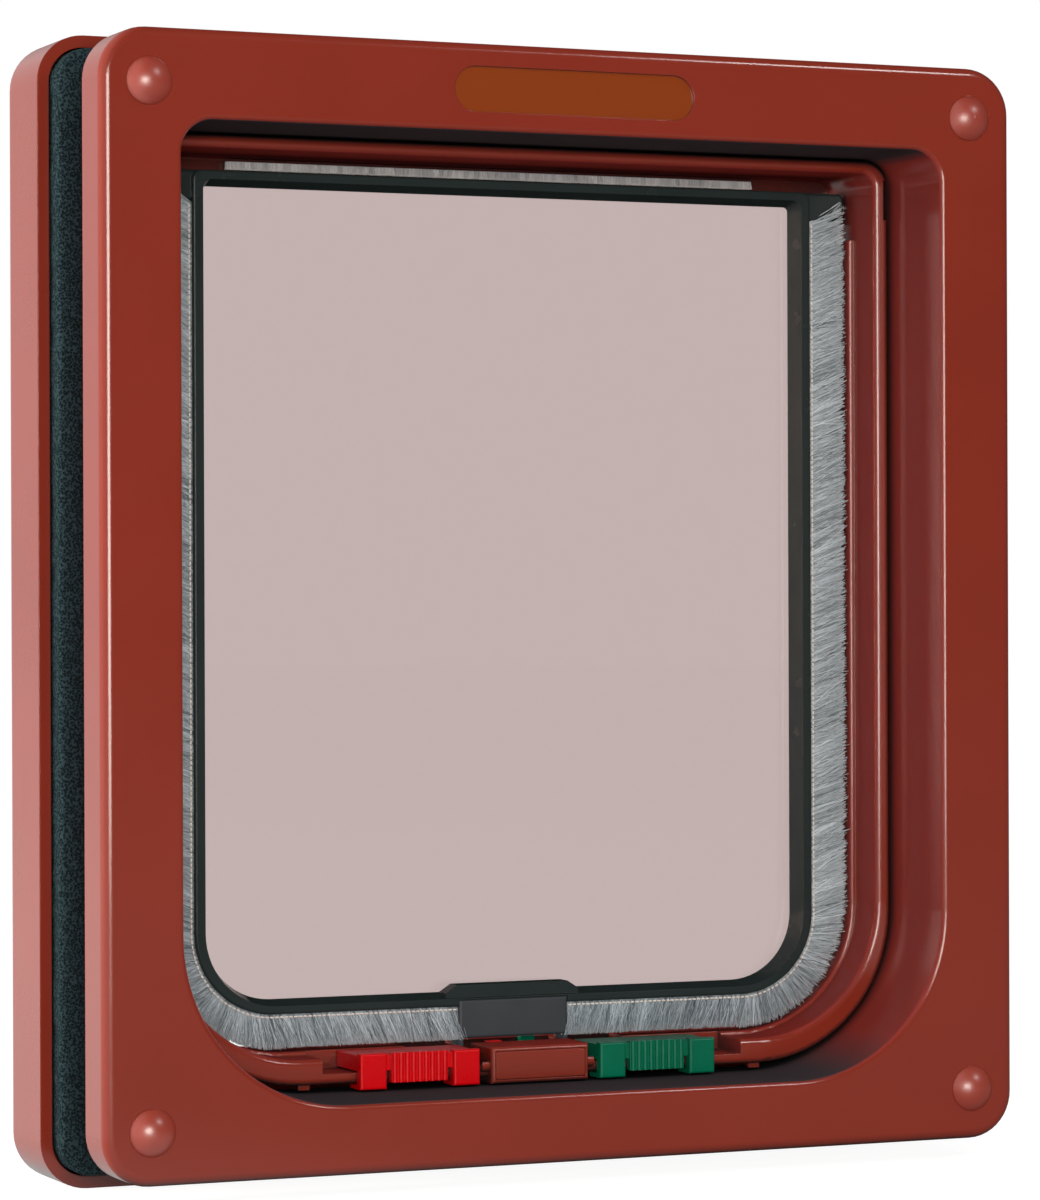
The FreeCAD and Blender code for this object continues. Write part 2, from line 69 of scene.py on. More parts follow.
# Adds one node: settings are socket values or node properties, links are sockets to join
def addNode(tree, kind, settings=None, links=None):
    node = tree.nodes.new(kind)
    for key, value in (settings or {}).items():
        if isinstance(key, int) or key in node.inputs:
            node.inputs[key].default_value = value
        else:
            setattr(node, key, value)
    for key, source in (links or {}).items():
        tree.links.new(source, node.inputs[key])
    return node


def newMaterial(name):
    material = bpy.data.materials.new(name)
    material.use_nodes = True
    material.node_tree.nodes.clear()
    return material, material.node_tree


# Joins the finished shader to the material's output
def finishMaterial(tree, shader):
    addNode(tree, "ShaderNodeOutputMaterial", {}, {"Surface": shader.outputs[0]})


# Noise with features of a real size in millimetres
def noiseAt(tree, place, sizeMm, detail=2.0):
    return addNode(
        tree,
        "ShaderNodeTexNoise",
        {"Scale": 1 / (sizeMm * mm), "Detail": detail, "Roughness": 0.5},
        {"Vector": place.outputs["Object"]},
    )


# Stretches a value from one range to another. The usual range is where noise mostly lies.
def spreadTo(tree, source, low, high, fromLow=0.3, fromHigh=0.7):
    return addNode(
        tree,
        "ShaderNodeMapRange",
        {"From Min": fromLow, "From Max": fromHigh, "To Min": low, "To Max": high},
        {"Value": source},
    )


def blendColours(tree, factor, first, second):
    settings = {"data_type": "RGBA"}
    links = {0: factor}
    for index, colour in ((6, first), (7, second)):
        if isinstance(colour, str):
            settings[index] = hexColour(colour)
        else:
            links[index] = colour
    return addNode(tree, "ShaderNodeMix", settings, links)


# How far the surface turns within a small radius: 0 on a flat face, more on a corner
def edgeMask(tree, radiusMm):
    rounded = addNode(tree, "ShaderNodeBevel", {"samples": 4, "Radius": radiusMm * mm})
    true = addNode(tree, "ShaderNodeNewGeometry")
    turn = addNode(
        tree,
        "ShaderNodeVectorMath",
        {"operation": "DOT_PRODUCT"},
        {0: rounded.outputs["Normal"], 1: true.outputs["Normal"]},
    )
    return rounded, turn.outputs["Value"]


# 1 inside a stadium-shaped recess in the front face, else 0
def recessMask(tree, place, look):
    split = addNode(tree, "ShaderNodeSeparateXYZ", {}, {0: place.outputs["Object"]})
    away = addNode(tree, "ShaderNodeMath", {"operation": "ABSOLUTE"}, {0: split.outputs["X"]})
    beyond = addNode(
        tree,
        "ShaderNodeMath",
        {"operation": "SUBTRACT", 1: look["straightMm"] * mm},
        {0: away.outputs[0]},
    )
    held = addNode(tree, "ShaderNodeMath", {"operation": "MAXIMUM", 1: 0.0}, {0: beyond.outputs[0]})
    rise = addNode(
        tree,
        "ShaderNodeMath",
        {"operation": "SUBTRACT", 1: look["middleMm"] * mm},
        {0: split.outputs["Z"]},
    )
    squares = []
    for leg in (held, rise):
        square = addNode(
            tree, "ShaderNodeMath", {"operation": "MULTIPLY"}, {0: leg.outputs[0], 1: leg.outputs[0]}
        )
        squares.append(square)
    total = addNode(
        tree, "ShaderNodeMath", {"operation": "ADD"}, {0: squares[0].outputs[0], 1: squares[1].outputs[0]}
    )
    inside = addNode(
        tree,
        "ShaderNodeMath",
        {"operation": "LESS_THAN", 1: (look["radiusMm"] * mm) ** 2},
        {0: total.outputs[0]},
    )
    deep = addNode(
        tree,
        "ShaderNodeMath",
        {"operation": "GREATER_THAN", 1: look["floorMm"] * mm},
        {0: split.outputs["Y"]},
    )
    near = addNode(tree, "ShaderNodeMath", {"operation": "LESS_THAN", 1: 0.0}, {0: split.outputs["Y"]})
    both = addNode(
        tree, "ShaderNodeMath", {"operation": "MULTIPLY"}, {0: inside.outputs[0], 1: deep.outputs[0]}
    )
    return addNode(
        tree, "ShaderNodeMath", {"operation": "MULTIPLY"}, {0: both.outputs[0], 1: near.outputs[0]}
    )


# How far a normal leans towards up or down before a face dulls or takes painted shade, and away from the
# frame's outside before it counts as an inner wall
leanLook = {
    "dullFrom": 0.6, "dullAt": 0.9, "darkFrom": 0.75, "darkAt": 0.97, "inwardFrom": -0.75, "inwardAt": -0.95,
}


# 0 on a face that stands upright, rising to 1 on one that lies level
def levelShare(tree, place, upright, level):
    facing = addNode(tree, "ShaderNodeSeparateXYZ", {}, {0: place.outputs["Normal"]})
    turn = addNode(tree, "ShaderNodeMath", {"operation": "ABSOLUTE"}, {0: facing.outputs["Z"]})
    return spreadTo(tree, turn.outputs[0], 0.0, 1.0, upright, level)


# 1 on the walls that face the middle of the opening, else 0
def inwardShare(tree, place):
    facing = addNode(tree, "ShaderNodeSeparateXYZ", {}, {0: place.outputs["Normal"]})
    spot = addNode(tree, "ShaderNodeSeparateXYZ", {}, {0: place.outputs["Object"]})
    parts = []
    for axis in ("X", "Z"):
        side = addNode(tree, "ShaderNodeMath", {"operation": "SIGN"}, {0: spot.outputs[axis]})
        part = addNode(
            tree, "ShaderNodeMath", {"operation": "MULTIPLY"}, {0: facing.outputs[axis], 1: side.outputs[0]}
        )
        parts.append(part)
    outward = addNode(
        tree, "ShaderNodeMath", {"operation": "ADD"}, {0: parts[0].outputs[0], 1: parts[1].outputs[0]}
    )
    return spreadTo(tree, outward.outputs[0], 1.0, 0.0, leanLook["inwardAt"], leanLook["inwardFrom"])


# 1 where a face stands in the open, falling to 0 deep in a gap, where hardly any light gets in
def openShare(tree, look):
    opening = addNode(
        tree, "ShaderNodeAmbientOcclusion", {"samples": 4, "Distance": look["gapMm"] * mm}
    )
    return spreadTo(tree, opening.outputs["AO"], 0.0, 1.0, look["gapShut"], look["gapOpen"])


# ABS moulded in a polished tool: an even colour that shifts a little where the melt flowed,
# a faint orange peel that softens highlights, and corners lighter in colour, partly rubbed wear and
# partly a painted highlight. Faces that lie level came off textured steel, so they gleam less, and so
# do the frames' inner walls, which take a lighter, greyer colour as a painted sheen, and a dark grey
# painted shade where they lie level in the front frame. Deep in a gap the colour goes nearly black:
# painted shade.
mouldingLook = {"smoothest": 0.9, "roughest": 1.12, "peelStrength": 0.5, "cornerTurn": 0.7}


def mouldedAbs(name, look, recess=None):
    material, tree = newMaterial(name)
    place = addNode(tree, "ShaderNodeTexCoord")
    flow = noiseAt(tree, place, look["flowMm"], 3.0)
    peel = noiseAt(tree, place, look["peelMm"], 2.0)
    handling = noiseAt(tree, place, look["handlingMm"], 4.0)
    rounded, turn = edgeMask(tree, look["edgeMm"])
    shift = spreadTo(tree, flow.outputs[0], 0.0, 1.0)
    body = blendColours(tree, shift.outputs[0], look["deep"], look["colour"])
    # Corners blend towards edgeColour, a lighter colour: partly rubbed wear, partly a painted highlight
    rubAndGlint = spreadTo(tree, turn, look["edgeRubAndGlint"], 0.0, mouldingLook["cornerTurn"], 1.0)
    colour = blendColours(tree, rubAndGlint.outputs[0], body.outputs[2], look["edgeColour"])
    if recess:
        inRecess = recessMask(tree, place, recess)
        colour = blendColours(tree, inRecess.outputs[0], colour.outputs[2], recess["colour"])
    smooth, dull = (look["roughness"] * mouldingLook[end] for end in ("smoothest", "roughest"))
    rough = spreadTo(tree, handling.outputs[0], smooth, dull)
    if "levelSpecular" in look:
        level = levelShare(tree, place, leanLook["dullFrom"], leanLook["dullAt"])
        gleam = spreadTo(tree, level.outputs[0], look["specular"], look["levelSpecular"], 0.0, 1.0)
    # Painted sheen: walls facing into the opening take a lighter, greyer colour; level ones take
    # innerLevelColour
    if "innerSheenColour" in look:
        inward = inwardShare(tree, place)
        lying = levelShare(tree, place, leanLook["darkFrom"], leanLook["darkAt"])
        inner = blendColours(tree, lying.outputs[0], look["innerSheenColour"], look["innerLevelColour"])
        colour = blendColours(tree, inward.outputs[0], colour.outputs[2], inner.outputs[2])
        share = spreadTo(tree, inward.outputs[0], 1.0, look["innerGleam"], 0.0, 1.0)
        gleam = addNode(
            tree, "ShaderNodeMath", {"operation": "MULTIPLY"}, {0: gleam.outputs[0], 1: share.outputs[0]}
        )
    # Painted shade: deep in a gap the colour goes to nearly black, by ambient occlusion
    if "gapShadeColour" in look:
        lit = openShare(tree, look)
        colour = blendColours(tree, lit.outputs[0], look["gapShadeColour"], colour.outputs[2])
    bump = addNode(
        tree,
        "ShaderNodeBump",
        {"Strength": mouldingLook["peelStrength"], "Distance": look["peelDepthMm"] * mm},
        {"Height": peel.outputs[0], "Normal": rounded.outputs["Normal"]},
    )
    shader = addNode(
        tree,
        "ShaderNodeBsdfPrincipled",
        {"IOR": look["ior"], "Specular IOR Level": look["specular"]},
        {"Base Color": colour.outputs[2], "Roughness": rough.outputs[0], "Normal": bump.outputs[0]},
    )
    if "levelSpecular" in look:
        tree.links.new(gleam.outputs[0], shader.inputs["Specular IOR Level"])
    finishMaterial(tree, shader)
    return material


redFrameLook = {
    "colour": "#8C3122", "deep": "#862E1F", "edgeColour": "#A8432F", "edgeRubAndGlint": 0.2, "edgeMm": 0.35,
    "flowMm": 38.0, "peelMm": 1.1, "peelDepthMm": 0.008, "handlingMm": 9.0,
    "roughness": 0.16, "ior": 1.53, "specular": 0.55, "levelSpecular": 0.0,
    # painted sheen colour for the inner walls
    "innerSheenColour": "#953A34", "innerLevelColour": "#953A34", "innerGleam": 0.2,
    # painted shade colour deep in gaps
    "gapShadeColour": "#1C2021", "gapMm": 13.0, "gapShut": 0.12, "gapOpen": 0.52,
}
# The caps' red is lighter than the frame's: a painted highlight for the soft glow of their broad highlight
capLook = {
    "colour": "#A44132", "deep": "#9A392A", "edgeColour": "#B34C3A", "edgeRubAndGlint": 0.2, "edgeMm": 0.35,
    "flowMm": 14.0, "peelMm": 0.9, "peelDepthMm": 0.008, "handlingMm": 5.0,
    "roughness": 0.34, "ior": 1.53, "specular": 1.0,
}
badgeRecess = {
    "colour": "#8C3D12", "straightMm": 21.2, "radiusMm": 4.43, "middleMm": 100.2, "floorMm": -10.85,
}
blackRimLook = {
    "colour": "#293434", "deep": "#252F2F", "edgeColour": "#332F26", "edgeRubAndGlint": 0.3, "edgeMm": 0.25,
    "flowMm": 25.0, "peelMm": 0.8, "peelDepthMm": 0.003, "handlingMm": 6.0,
    "roughness": 0.25, "ior": 1.53, "specular": 0.17, "levelSpecular": 0.0,
}
redSliderLook = {
    "colour": "#D5030F", "deep": "#C9020D", "edgeColour": "#E8353C", "edgeRubAndGlint": 0.3, "edgeMm": 0.15,
    "flowMm": 9.0, "peelMm": 0.5, "peelDepthMm": 0.008, "handlingMm": 3.0,
    "roughness": 0.3, "ior": 1.53, "specular": 0.22, "levelSpecular": 0.1,
}
greenSliderLook = dict(redSliderLook, colour="#006D50", deep="#006349", edgeColour="#1F9A79")
greyHousingLook = {
    "colour": "#383F44", "deep": "#32383D", "edgeColour": "#565E60", "edgeRubAndGlint": 0.3, "edgeMm": 0.2,
    "flowMm": 10.0, "peelMm": 0.35, "peelDepthMm": 0.02, "handlingMm": 4.0,
    "roughness": 0.5, "ior": 1.5, "specular": 0.4, "levelSpecular": 0.2,
}
redFrame = mouldedAbs("glossRedAbs", redFrameLook)
redCaps = mouldedAbs("softGlossRedAbs", capLook)  # a duller tool, so the caps have a broad highlight
# Painted shade: the front frame's level inner faces, the reveal's floor and ceiling, are dark grey
frontFrameLook = dict(redFrameLook, innerLevelColour="#4A4448")  # dark floor and ceiling in the reveal
redFront = mouldedAbs("glossRedAbsWithPlate", frontFrameLook, badgeRecess)
blackRim = mouldedAbs("glossBlackAbs", blackRimLook)
redSlider = mouldedAbs("glossRedSliderAbs", redSliderLook)
greenSlider = mouldedAbs("glossGreenSliderAbs", greenSliderLook)
greyHousing = mouldedAbs("satinGreyAbs", greyHousingLook)


# Polycarbonate sheet, extruded and tinted: you see through it to a rosy grey, with hair
# scratches from a cat's coat and a slight haze where it has been wiped.
panelLook = {
    "tint": "#C7B5B3", "ior": 1.58, "roughness": 0.02, "scratchRoughness": 0.09, "scratchWidthMm": 0.6,
    "scratchStretch": (0.12, 1.0, 1.0), "scratchTurn": (0.0, 0.5, 0.0), "scratchFaint": 0.62,
    "scratchClear": 0.7, "hazeMm": 30.0,
}


def tintedPolycarbonate(look):
    material, tree = newMaterial("tintedPolycarbonate")
    place = addNode(tree, "ShaderNodeTexCoord")
    stretch = addNode(
        tree,
        "ShaderNodeMapping",
        {"Scale": look["scratchStretch"], "Rotation": look["scratchTurn"]},
        {"Vector": place.outputs["Object"]},
    )
    scratch = addNode(
        tree,
        "ShaderNodeTexNoise",
        {"Scale": 1 / (look["scratchWidthMm"] * mm), "Detail": 4.0, "Roughness": 0.7},
        {"Vector": stretch.outputs[0]},
    )
    haze = noiseAt(tree, place, look["hazeMm"], 2.0)
    lines = spreadTo(tree, scratch.outputs[0], 0.0, 1.0, look["scratchFaint"], look["scratchClear"])
    amount = addNode(
        tree, "ShaderNodeMath", {"operation": "MULTIPLY"}, {0: lines.outputs[0], 1: haze.outputs[0]}
    )
    rough = spreadTo(tree, amount.outputs[0], look["roughness"], look["scratchRoughness"], 0.0, 1.0)
    shader = addNode(
        tree,
        "ShaderNodeBsdfPrincipled",
        {"Base Color": hexColour(look["tint"]), "IOR": look["ior"], "Transmission Weight": 1.0},
        {"Roughness": rough.outputs[0]},
    )
    finishMaterial(tree, shader)
    return material


clearPanel = tintedPolycarbonate(panelLook)


# Zinc-plated steel, bright-dipped: blue-white, with faint cloudy spangle.
# Sintered ferrite: a matt grey-black ceramic with a fine grain and no shine.
steelLook = {"colour": "#B9BDC2", "cloud": "#9A9FA6", "cloudMm": 1.6, "roughness": 0.28, "spread": 0.2}
ferriteLook = {"colour": "#2E2E31", "cloud": "#232326", "cloudMm": 0.4, "roughness": 0.7, "spread": 0.2}


def cloudySolid(name, look, metallic):
    material, tree = newMaterial(name)
    place = addNode(tree, "ShaderNodeTexCoord")
    cloud = noiseAt(tree, place, look["cloudMm"], 3.0)
    clear = spreadTo(tree, cloud.outputs[0], 0.0, 1.0)
    colour = blendColours(tree, clear.outputs[0], look["cloud"], look["colour"])
    smooth, dull = (look["roughness"] * (1 + way * look["spread"]) for way in (-1, 1))
    rough = spreadTo(tree, cloud.outputs[0], smooth, dull)
    shader = addNode(
        tree,
        "ShaderNodeBsdfPrincipled",
        {"Metallic": metallic},
        {"Base Color": colour.outputs[2], "Roughness": rough.outputs[0]},
    )
    finishMaterial(tree, shader)
    return material


zincSteel = cloudySolid("zincPlatedSteel", steelLook, 1.0)
ferrite = cloudySolid("sinteredFerrite", ferriteLook, 0.0)


# Closed-cell neoprene foam, cut strip: near black, with burst cells that speckle where light rakes it.
foamLook = {
    "colour": "#041418", "cellEdge": "#2D4148", "edgeFrom": 0.35, "edgeTo": 0.75, "cellMm": 0.45,
    "cellDepthMm": 0.12, "cellStrength": 0.8, "roughness": 0.85, "specular": 0.18,
}


def neopreneFoam(look):
    material, tree = newMaterial("closedCellNeoprene")
    place = addNode(tree, "ShaderNodeTexCoord")
    cells = addNode(
        tree,
        "ShaderNodeTexVoronoi",
        {"Scale": 1 / (look["cellMm"] * mm), "Randomness": 1.0},
        {"Vector": place.outputs["Object"]},
    )
    edges = spreadTo(tree, cells.outputs["Distance"], 0.0, 1.0, look["edgeFrom"], look["edgeTo"])
    colour = blendColours(tree, edges.outputs[0], look["colour"], look["cellEdge"])
    bump = addNode(
        tree,
        "ShaderNodeBump",
        {"Strength": look["cellStrength"], "Distance": look["cellDepthMm"] * mm},
        {"Height": cells.outputs["Distance"]},
    )
    shader = addNode(
        tree,
        "ShaderNodeBsdfPrincipled",
        {"Roughness": look["roughness"], "Specular IOR Level": look["specular"]},
        {"Base Color": colour.outputs[2], "Normal": bump.outputs[0]},
    )
    finishMaterial(tree, shader)
    return material


neoprene = neopreneFoam(foamLook)


# Polypropylene pile, cut and sewn: blue-grey filaments, each a little lighter or darker,
# darkened at the root by painted shade where they pack together, and paler at the cut tips. The brush on
# the tunnel's ceiling is nylon, undyed, so it looks nearly white.
pileLook = {
    "dark": "#55646B", "light": "#E6F3FB", "root": "#333A3C", "tip": "#C9CDD4", "rootTo": 0.12,
    "tipFrom": 0.8, "tipShare": 0.5, "roughness": 0.5, "specular": 0.4,
}
palePileLook = dict(pileLook, dark="#AEB3B8", light="#FFFFFF", root="#C4C8CC", tip="#FFFFFF")


def cutPile(name, look):
    material, tree = newMaterial(name)
    tone = addNode(tree, "ShaderNodeAttribute", {"attribute_name": "tone"})
    along = addNode(tree, "ShaderNodeAttribute", {"attribute_name": "along"})
    body = blendColours(tree, tone.outputs["Fac"], look["dark"], look["light"])
    # Painted shade: darker towards the root, where the filaments pack together
    clear = spreadTo(tree, along.outputs["Fac"], 0.0, 1.0, 0.0, look["rootTo"])
    rootShaded = blendColours(tree, clear.outputs[0], look["root"], body.outputs[2])
    cut = spreadTo(tree, along.outputs["Fac"], 0.0, look["tipShare"], look["tipFrom"], 1.0)
    tipped = blendColours(tree, cut.outputs[0], rootShaded.outputs[2], look["tip"])
    shader = addNode(
        tree,
        "ShaderNodeBsdfPrincipled",
        {"Roughness": look["roughness"], "Specular IOR Level": look["specular"]},
        {"Base Color": tipped.outputs[2]},
    )
    finishMaterial(tree, shader)
    return material


greyPile = cutPile("polypropylenePile", pileLook)
palePile = cutPile("paleNylonPile", palePileLook)
print("materials made")


def dress(material, *names):
    for name in names:
        slots = nodes[name].data.materials
        slots.clear()
        slots.append(material)


dress(redFront, "front_frame")
dress(redFrame, "back_frame", "magnet_cover")
for corner in ("top_left", "top_right", "bottom_left", "bottom_right"):
    dress(redCaps, "screw_cap_" + corner)
    dress(zincSteel, "frame_screw_" + corner)
dress(zincSteel, "hinge_pin_left", "hinge_pin_right")
dress(blackRim, "flap_rim")
dress(clearPanel, "flap_panel")
dress(greyHousing, "magnet_housing")
dress(ferrite, "flap_magnet", "frame_magnet")
dress(redSlider, "red_lock_slider")
dress(greenSlider, "green_lock_slider")


# Makes an object from points and faces, with one value per point for each named attribute
def meshObject(name, points, faces, material, attributes=None, smooth=False):
    mesh = bpy.data.meshes.new(name)
    faces = np.asarray(faces, dtype=np.int32)
    count, sides = faces.shape
    mesh.vertices.add(len(points))
    mesh.vertices.foreach_set("co", np.asarray(points, dtype=np.float32).ravel())
    mesh.loops.add(count * sides)
    mesh.loops.foreach_set("vertex_index", faces.ravel())
    mesh.polygons.add(count)
    mesh.polygons.foreach_set("loop_start", np.arange(0, count * sides, sides, dtype=np.int32))
    mesh.update(calc_edges=True)
    for key, values in (attributes or {}).items():
        layer = mesh.attributes.new(key, "FLOAT", "POINT")
        layer.data.foreach_set("value", np.asarray(values, dtype=np.float32))
    mesh.polygons.foreach_set("use_smooth", np.full(count, smooth))
    mesh.materials.append(material)
    piece = bpy.data.objects.new(name, mesh)
    bpy.context.scene.collection.objects.link(piece)
    return piece


# How thick a filament is along its length, as the share of the way and of its root's radius
filamentRings = {"root": (0.0, 1.0), "middle": (0.55, 1.0), "tip": (1.0, 0.6)}


# Lays three-sided filaments along curves: rings of points from root to tip, closed at the tip.
# rootPoints, middlePoints and tipPoints are N x 3 in metres.
def filaments(rootPoints, middlePoints, tipPoints, radius, side):
    count = len(rootPoints)
    axis = tipPoints - rootPoints
    axis /= np.linalg.norm(axis, axis=1)[:, None]
    across = np.cross(axis, side)
    across /= np.linalg.norm(across, axis=1)[:, None]
    up = np.cross(axis, across)
    rings = []
    along = []
    centres = {"root": rootPoints, "middle": middlePoints, "tip": tipPoints}
    for where, centre in centres.items():
        part, share = filamentRings[where]
        for corner in range(3):
            angle = 2 * math.pi * corner / 3
            offset = across * math.cos(angle) + up * math.sin(angle)
            rings.append(centre + offset * (radius * share)[:, None])
            along.append(np.full(count, part))
    points = np.stack(rings, axis=1).reshape(-1, 3)
    values = np.stack(along, axis=1).reshape(-1)
    quads = []
    for ring in range(2):
        for corner in range(3):
            following = (corner + 1) % 3
            here, above = ring * 3, ring * 3 + 3
            quads.append([here + corner, here + following, above + following, above + corner])
    quads = np.asarray(quads)
    triangles = np.concatenate([quads[:, [0, 1, 2]], quads[:, [0, 2, 3]], [[6, 7, 8]]])
    starts = np.arange(count)[:, None, None] * 9
    faces = (triangles[None] + starts).reshape(-1, 3)
    return points, faces, values


# Cut pile: filaments from a line of roots, leaning along the strip in loose tufts
def growPile(name, look, material, roots, outward, tangent, slope, reach):
    chance = np.random.default_rng(look["seed"])
    count = len(roots)
    depth = np.array([0.0, 1.0, 0.0])
    tuft = (np.arange(count) * look["tufts"] / count).astype(int)
    tuftLean = chance.normal(0.0, look["tuftLean"], look["tufts"])[tuft]
    tuftTone = chance.uniform(0.0, 1.0, look["tufts"])[tuft]
    spread = chance.uniform(-0.5, 0.5, count)
    hidden = look["rootMm"] * mm
    start = roots + depth * (spread * look["thickMm"] * mm)[:, None] - outward * hidden
    sway = slope + tuftLean + chance.normal(0.0, look["strayLean"], count)
    splay = spread * look["fan"] + chance.normal(0.0, look["strayLean"] / 2, count)
    aim = outward + tangent * sway[:, None] + depth * splay[:, None]
    length = reach * (1 - look["shortest"] * chance.uniform(0.0, 1.0, count) ** 3) + hidden
    tip = start + aim * length[:, None]
    bow = chance.normal(0.0, look["bowMm"] * mm, count)
    middle = (start + tip) / 2 + tangent * bow[:, None]
    radius = chance.uniform(*look["thickness"], count) * look["filamentMm"] / 2 * mm
    points, faces, along = filaments(start, middle, tip, radius, depth)
    tone = look["tuftShare"] * tuftTone + (1 - look["tuftShare"]) * chance.uniform(0.0, 1.0, count)
    values = {"along": along, "tone": np.repeat(tone, len(points) // count)}
    return meshObject(name, points, faces, material, values)


# The strip under the flap's rim from beside the magnet housing, round the corner and up to
# the hinge ear. Bristles lean to the housing below and upwards at the side.
flapPileLook = {
    "filaments": 14600, "filamentMm": 0.17, "thickMm": 1.3, "rootMm": 0.5, "seed": 4, "tufts": 520,
    "tuftLean": 0.07, "strayLean": 0.15, "fan": 0.34, "bowMm": 0.25, "shortest": 0.1, "tuftShare": 0.45,
    "sideLean": -0.4, "bottomLean": 0.36, "cornerMm": 16.5, "endFade": 0.015, "thickness": (0.75, 1.15),
    "sideReachMm": 7.65, "bottomReachMm": 6.6, "cornerReachMm": 6.6,
}


# Points along the rim's edge, with the way out and the way to the housing at each
def rimPath(node, side, look, run):
    low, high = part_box(node)
    inner, outer = sorted((abs(low.x), abs(high.x)))
    corner = look["cornerMm"] * mm
    edgeX = outer - look["sideReachMm"] * mm
    edgeZ = low.z + look["bottomReachMm"] * mm
    bottomRun = edgeX - corner - inner
    arcRun = corner * math.pi / 2
    total = bottomRun + arcRun + high.z - edgeZ - corner
    run = run * total
    angle = np.clip((run - bottomRun) / arcRun, 0, 1) * math.pi / 2
    x = inner + np.minimum(run, bottomRun) + corner * np.sin(angle)
    z = edgeZ + corner - corner * np.cos(angle) + np.maximum(run - bottomRun - arcRun, 0)
    flat = np.zeros_like(x)
    roots = np.stack([x * side, flat + (low.y + high.y) / 2, z], axis=1)
    outward = np.stack([np.sin(angle) * side, flat, -np.cos(angle)], axis=1)
    homeward = np.stack([-np.cos(angle) * side, flat, -np.sin(angle)], axis=1)
    return roots, outward, homeward, angle


def flapPile(name, node, side, look):
    chance = np.random.default_rng(look["seed"] + 1)
    run = np.sort(chance.uniform(0.0, 1.0, look["filaments"]))
    roots, outward, homeward, angle = rimPath(node, side, look, run)
    turned = angle / (math.pi / 2)
    slope = look["bottomLean"] + (look["sideLean"] - look["bottomLean"]) * turned
    reach = look["bottomReachMm"] + (look["sideReachMm"] - look["bottomReachMm"]) * turned
    reach += (look["cornerReachMm"] - reach) * np.sin(2 * angle)
    fade = np.clip(run / look["endFade"], 0, 1)
    piece = growPile(name, look, greyPile, roots, outward, homeward, slope * fade, reach * mm)
    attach(piece, "flap")
    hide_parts(node)


flapPile("brush_left_pile", "brush_left", -1, flapPileLook)
flapPile("brush_right_pile", "brush_right", 1, dict(flapPileLook, seed=11))
print("flap brushes grown")


# A row of lock stitches that shows where the pile leaves the rim: short pale loops in thread
stitchLook = {
    "pitchMm": 1.0, "lengthMm": 0.8, "radiusMm": 0.22, "outMm": 0.55, "proudMm": 0.38, "sides": 6,
    "rings": 5, "runShare": 1.25,  # the stitched path's length over the strip's height
    "thread": "#EFE8E2", "roughness": 0.6, "twistDepthMm": 0.03, "twistStrength": 0.5,
}


def threadMaterial(look):
    material, tree = newMaterial("polyesterThread")
    place = addNode(tree, "ShaderNodeTexCoord")
    twist = addNode(
        tree,
        "ShaderNodeTexWave",
        {"Scale": 1 / (look["radiusMm"] * 2 * mm), "Distortion": 0.5},
        {"Vector": place.outputs["Object"]},
    )
    bump = addNode(
        tree,
        "ShaderNodeBump",
        {"Strength": look["twistStrength"], "Distance": look["twistDepthMm"] * mm},
        {"Height": twist.outputs["Fac"]},
    )
    shader = addNode(
        tree,
        "ShaderNodeBsdfPrincipled",
        {"Base Color": hexColour(look["thread"]), "Roughness": look["roughness"]},
        {"Normal": bump.outputs[0]},
    )
    finishMaterial(tree, shader)
    return material


stitchThread = threadMaterial(stitchLook)


def stitchRow(name, node, side, look, pile):
    low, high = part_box(node)
    count = int((high.z - low.z) * look["runShare"] / (look["pitchMm"] * mm))
    run = (np.arange(count) + 0.5) / count
    roots, outward, homeward, _ = rimPath(node, side, pile, run)
    sides, rings = look["sides"], look["rings"]
    points, faces = [], []
    half = look["lengthMm"] / 2 * mm
    for root, out, home in zip(roots, outward, homeward):
        centre = Vector(root) + Vector(out) * (look["outMm"] * mm)
        centre.y = low.y - look["proudMm"] * mm + look["radiusMm"] * mm
        axis = Vector(home)
        first = len(points)
        for ring in range(rings):
            swing = math.pi * (ring + 0.5) / rings
            middle = centre - axis * (half * math.cos(swing))
            radius = look["radiusMm"] * mm * math.sin(swing) ** 0.5
            for step in range(sides):
                angle = 2 * math.pi * step / sides
                rise = Vector((0, radius * math.sin(angle), 0))
                points.append(middle + Vector(out) * (radius * math.cos(angle)) + rise)
        for ring in range(rings - 1):
            for step in range(sides):
                here = first + ring * sides + step
                after = first + ring * sides + (step + 1) % sides
                faces.append([here, after, after + sides])
                faces.append([here, after + sides, here + sides])
        for end in (first, first + (rings - 1) * sides):
            for step in range(1, sides - 1):
                faces.append([end, end + step, end + step + 1])
    piece = meshObject(name, [tuple(p) for p in points], faces, stitchThread, smooth=True)
    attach(piece, "flap")


stitchRow("stitches_left", "brush_left", -1, stitchLook, flapPileLook)
stitchRow("stitches_right", "brush_right", 1, stitchLook, flapPileLook)


# The short brush that hangs from the tunnel's ceiling behind the flap
topPileLook = {
    "filaments": 9000, "filamentMm": 0.15, "thickMm": 1.3, "rootMm": 0.2, "seed": 21, "tufts": 110,
    "tuftLean": 0.06, "strayLean": 0.1, "fan": 0.3, "bowMm": 0.06, "shortest": 0.15, "backingMm": 0.9,
    "tuftShare": 0.5, "thickness": (0.75, 1.15),
}


def topPile(look):
    low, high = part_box("top_brush")
    chance = np.random.default_rng(look["seed"] + 1)
    x = np.sort(chance.uniform(low.x, high.x, look["filaments"]))
    flat = np.zeros_like(x)
    top = high.z - look["backingMm"] * mm
    roots = np.stack([x, flat + (low.y + high.y) / 2, flat + top], axis=1)
    outward = np.stack([flat, flat, flat - 1], axis=1)
    sideways = np.stack([flat + 1, flat, flat], axis=1)
    piece = growPile("top_brush_pile", look, palePile, roots, outward, sideways, flat, flat + (top - low.z))
    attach(piece, "frame")
    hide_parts("top_brush")


